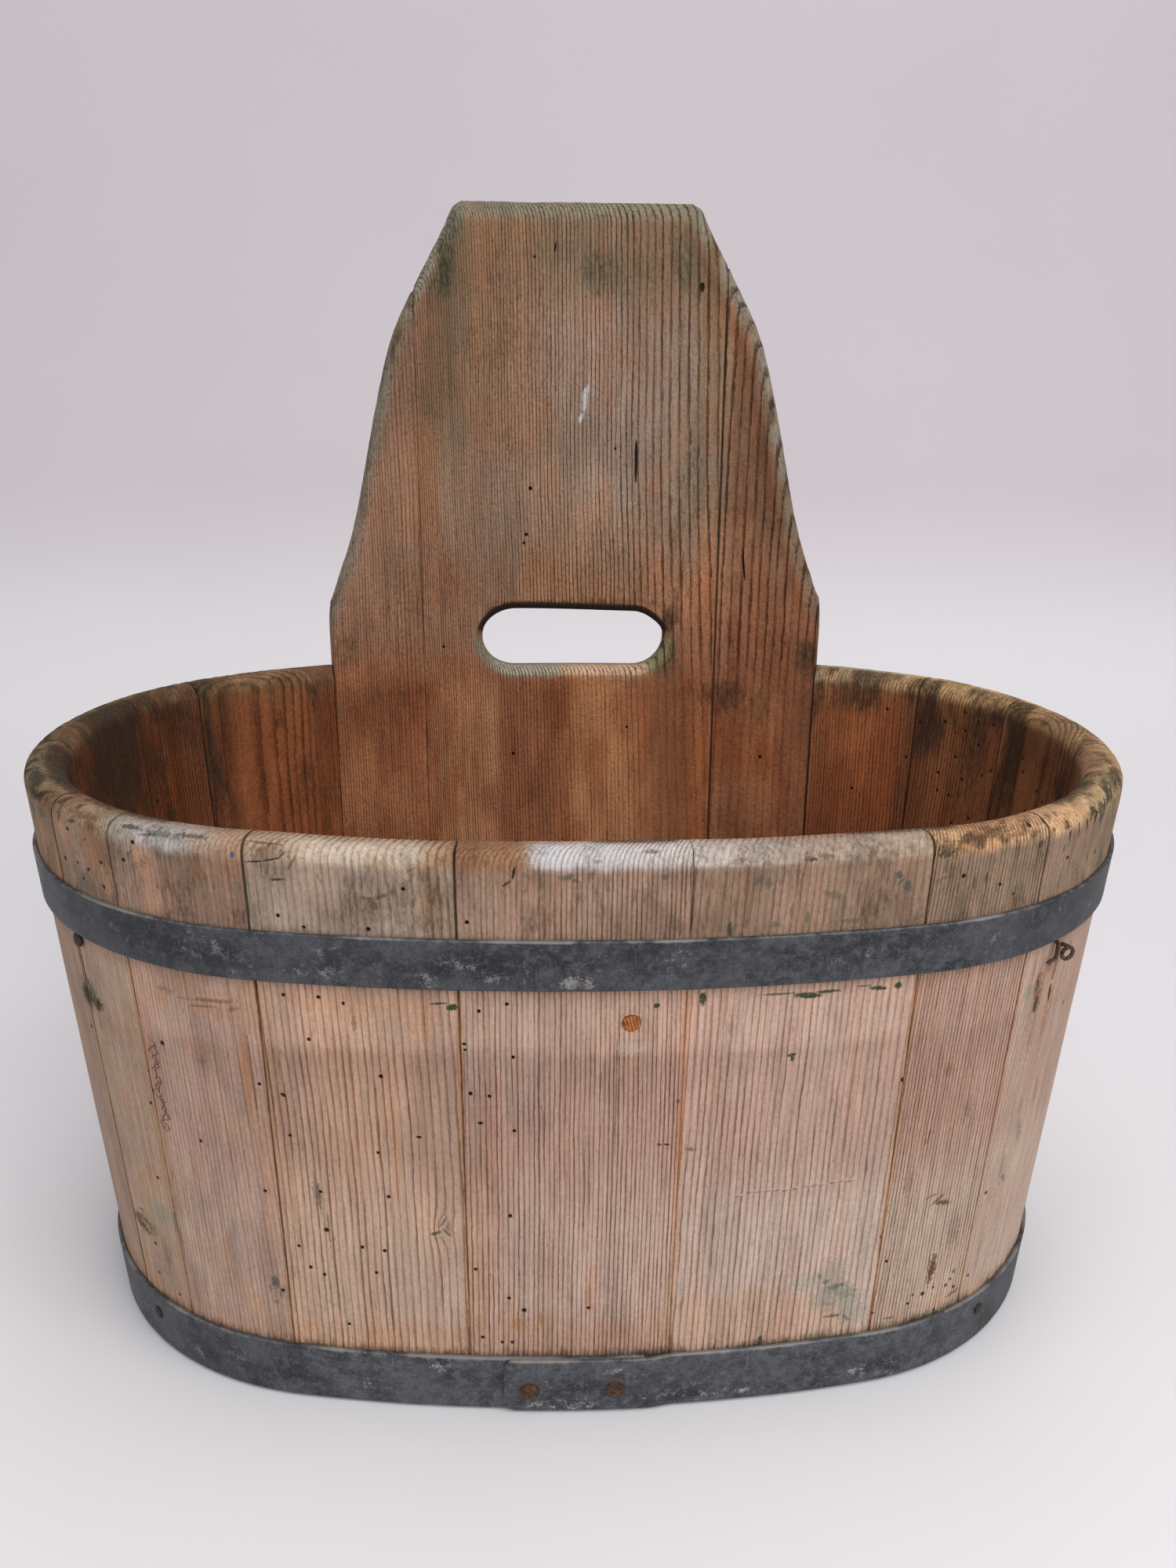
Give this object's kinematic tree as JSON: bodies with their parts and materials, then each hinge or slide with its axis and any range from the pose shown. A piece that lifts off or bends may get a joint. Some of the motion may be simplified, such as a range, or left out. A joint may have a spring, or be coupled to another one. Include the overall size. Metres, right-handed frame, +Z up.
{
  "type": "oval wooden tub",
  "caption": "Oval coopered wooden tub of upright staves bound by riveted metal hoops, with a board floor and a tall shaped back board pierced by a hand slot.",
  "frame": {"origin": "middle of the bounding box's footprint, on the ground plane that the staves stand on", "axes": "+Z up, +X to the viewer's right along the tub's length, +Y from the front wall to the tall back board"},
  "size_m": [0.4628, 0.3124, 0.474],
  "materials": {
    "wall_wood": "bare weathered softwood, raised grain, matte",
    "board_wood": "bare weathered softwood, raised grain, matte",
    "floor_wood": "bare stained softwood, matte",
    "dowel_wood": "bare wood, matte",
    "plug_wood": "bare end grain, matte",
    "hoop_metal": "old galvanised strip, dull and mottled",
    "rusty_iron": "rusty, rough"
  },
  "bodies": {
    "root": {"front_stave_left": "wall_wood", "front_stave_middle": "wall_wood", "front_stave_right": "wall_wood", "front_right_corner_stave": "wall_wood", "right_end_stave_front": "wall_wood", "right_end_stave_middle": "wall_wood", "right_end_stave_back": "wall_wood", "back_right_corner_stave": "wall_wood", "back_stave_right": "wall_wood", "board_stave_right": "board_wood", "board_stave_middle": "board_wood", "board_stave_left": "board_wood", "back_stave_left": "wall_wood", "back_left_corner_stave": "wall_wood", "left_end_stave_back": "wall_wood", "left_end_stave_middle": "wall_wood", "left_end_stave_front": "wall_wood", "front_left_corner_stave": "wall_wood", "floor_board_front": "floor_wood", "floor_board_middle": "floor_wood", "floor_board_back": "floor_wood", "floor_dowels": "dowel_wood", "board_dowels": "dowel_wood", "upper_hoop": "hoop_metal", "upper_hoop_rivets": "rusty_iron", "lower_hoop": "hoop_metal", "lower_hoop_rivets": "rusty_iron", "lower_hoop_nails": "rusty_iron", "upper_hoop_nail": "rusty_iron", "bent_nails": "rusty_iron", "front_plug": "plug_wood"}
  },
  "joints": []
}
